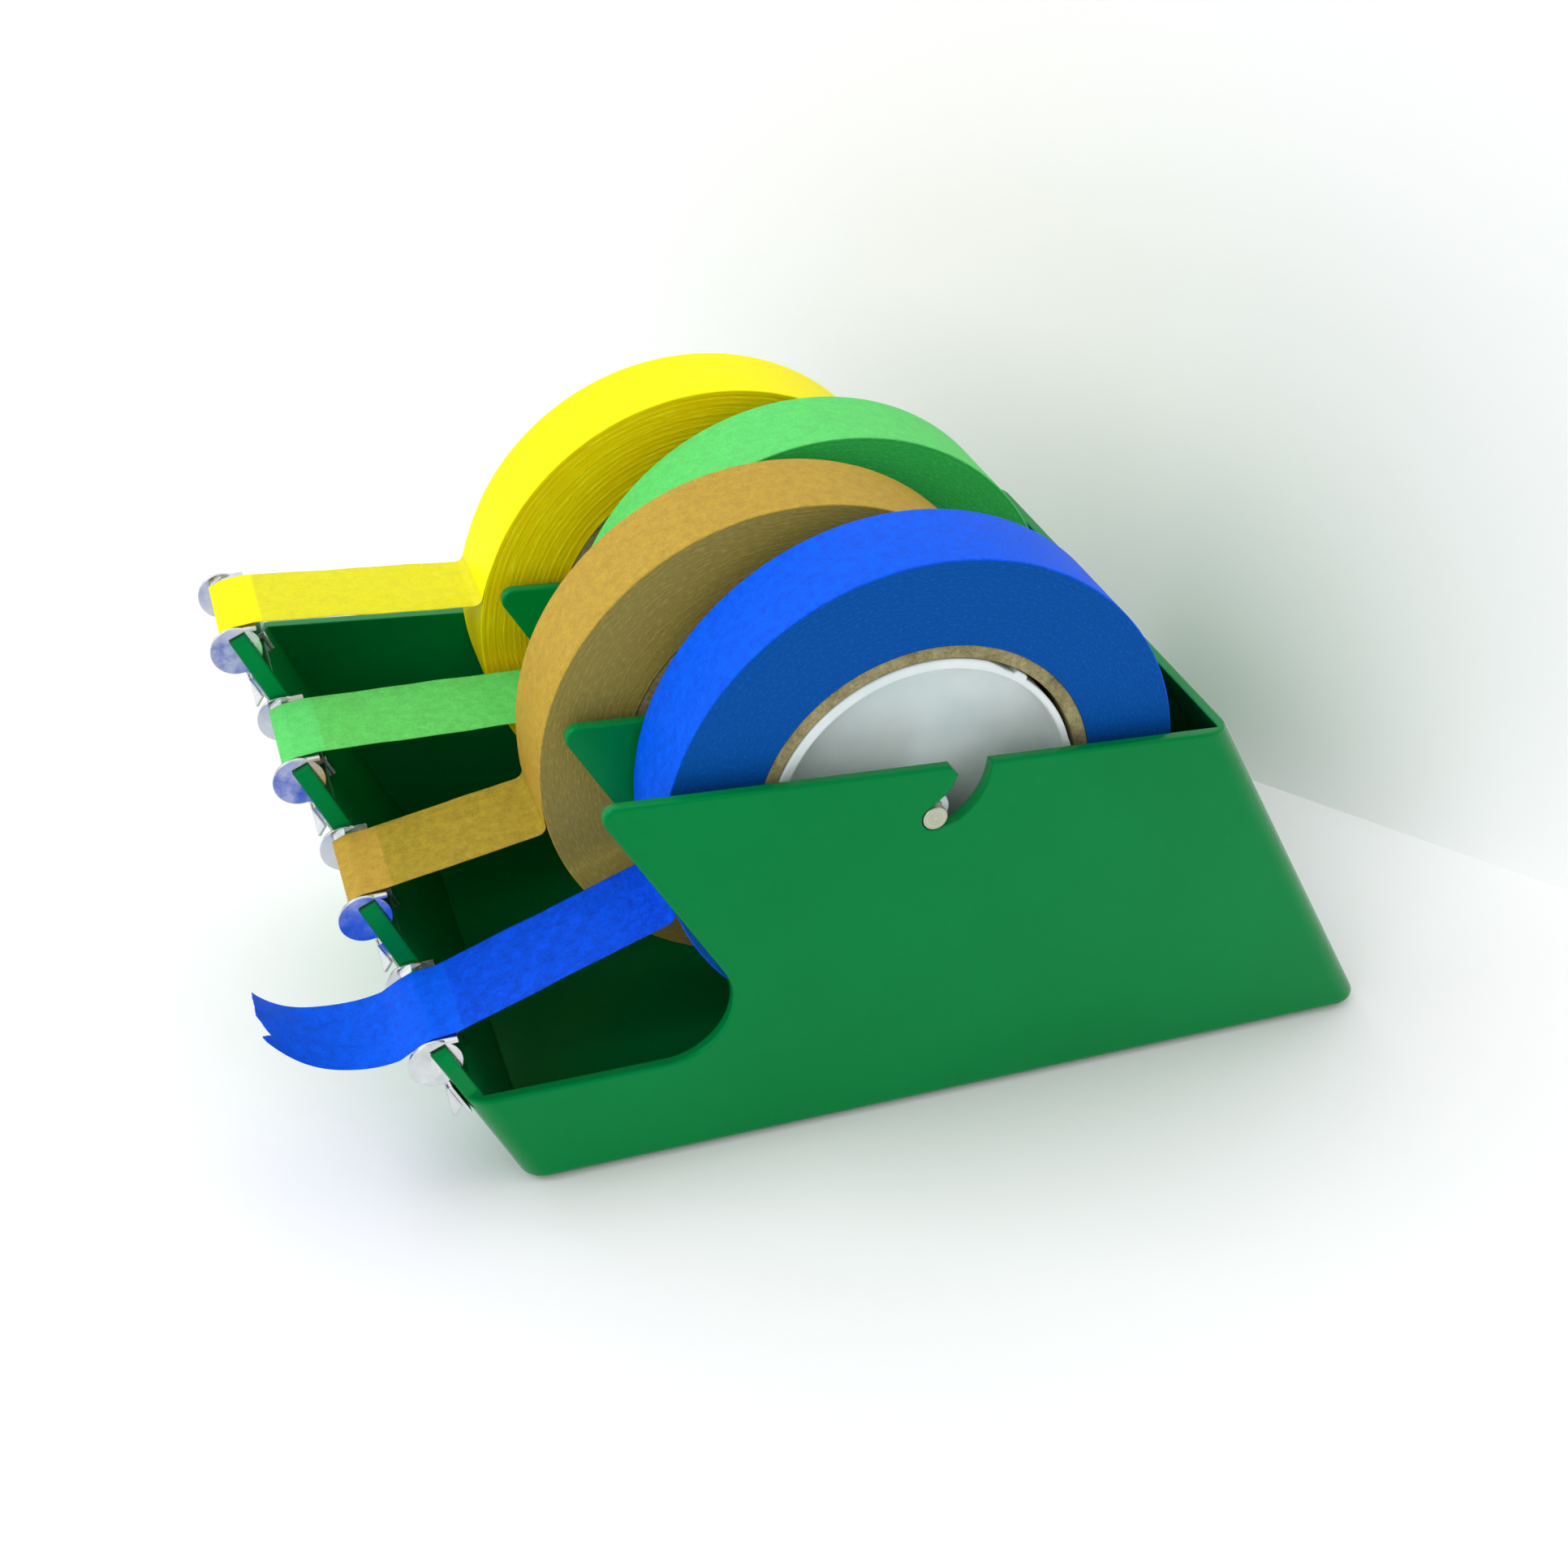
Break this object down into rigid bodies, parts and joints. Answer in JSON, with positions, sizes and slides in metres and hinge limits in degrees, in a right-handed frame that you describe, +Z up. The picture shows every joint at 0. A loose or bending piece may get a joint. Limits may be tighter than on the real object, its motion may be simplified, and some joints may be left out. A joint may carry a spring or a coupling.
{
  "type": "tape dispenser",
  "caption": "Desk tape dispenser: open moulded tub with bays for tape rolls on drop-in steel axles, and a stepped front wall with a cutter for each tape.",
  "frame": {"origin": "on the table, under the middle of the whole dispenser with its tapes", "axes": "+X towards the back, +Y towards the high end of the front wall, along the axles, +Z up"},
  "size_m": [0.283, 0.1372, 0.15],
  "materials": {
    "green_plastic": "gloss",
    "black_rubber": "matte",
    "plated_steel": "polished",
    "bright_steel": "satin",
    "white_plastic": "gloss",
    "core_board": "matte",
    "blue_tape": "matte",
    "brown_tape": "matte",
    "green_tape": "matte",
    "yellow_tape": "matte"
  },
  "bodies": {
    "tub": {"body_shell": "green_plastic", "rubber_feet": "black_rubber", "cutter_bracket_blue": "plated_steel", "cutter_bracket_brown": "plated_steel", "cutter_bracket_green": "plated_steel", "cutter_bracket_yellow": "plated_steel", "cutter_blade_blue": "plated_steel", "cutter_blade_brown": "plated_steel", "cutter_blade_green": "plated_steel", "cutter_blade_yellow": "plated_steel", "tape_strip_blue": "blue_tape", "tape_strip_brown": "brown_tape", "tape_strip_green": "green_tape", "tape_strip_yellow": "yellow_tape"},
    "blue_axle": {"axle_blue": "bright_steel"},
    "blue_roll": {"hub_blue": "white_plastic", "core_blue": "core_board", "wound_tape_blue": "blue_tape"},
    "brown_axle": {"axle_brown": "bright_steel"},
    "brown_roll": {"hub_brown": "white_plastic", "core_brown": "core_board", "wound_tape_brown": "brown_tape"},
    "green_axle": {"axle_green": "bright_steel"},
    "green_roll": {"hub_green": "white_plastic", "core_green": "core_board", "wound_tape_green": "green_tape"},
    "yellow_axle": {"axle_yellow": "bright_steel"},
    "yellow_roll": {"hub_yellow": "white_plastic", "core_yellow": "core_board", "wound_tape_yellow": "yellow_tape"}
  },
  "joints": [
    {"name": "blue_axle_lift", "type": "hinge", "parent": "tub", "child": "blue_axle", "pos_m": [0.00854, -0.0501, 0.09976], "axis": [0, -1, 0], "range_deg": [0, 110]},
    {"name": "blue_roll_turn", "type": "hinge", "parent": "blue_axle", "child": "blue_roll", "pos_m": [0.01256, -0.0501, 0.0874], "axis": [0, -1, 0], "continuous": true},
    {"name": "brown_axle_lift", "type": "hinge", "parent": "tub", "child": "brown_axle", "pos_m": [-0.01196, -0.0167, 0.09976], "axis": [0, -1, 0], "range_deg": [0, 110]},
    {"name": "brown_roll_turn", "type": "hinge", "parent": "brown_axle", "child": "brown_roll", "pos_m": [-0.00794, -0.0167, 0.0874], "axis": [0, -1, 0], "continuous": true},
    {"name": "green_axle_lift", "type": "hinge", "parent": "tub", "child": "green_axle", "pos_m": [0.00854, 0.0167, 0.09976], "axis": [0, -1, 0], "range_deg": [0, 110]},
    {"name": "green_roll_turn", "type": "hinge", "parent": "green_axle", "child": "green_roll", "pos_m": [0.01256, 0.0167, 0.0874], "axis": [0, -1, 0], "continuous": true},
    {"name": "yellow_axle_lift", "type": "hinge", "parent": "tub", "child": "yellow_axle", "pos_m": [-0.01196, 0.0501, 0.09976], "axis": [0, -1, 0], "range_deg": [0, 110]},
    {"name": "yellow_roll_turn", "type": "hinge", "parent": "yellow_axle", "child": "yellow_roll", "pos_m": [-0.00794, 0.0501, 0.0874], "axis": [0, -1, 0], "continuous": true}
  ]
}
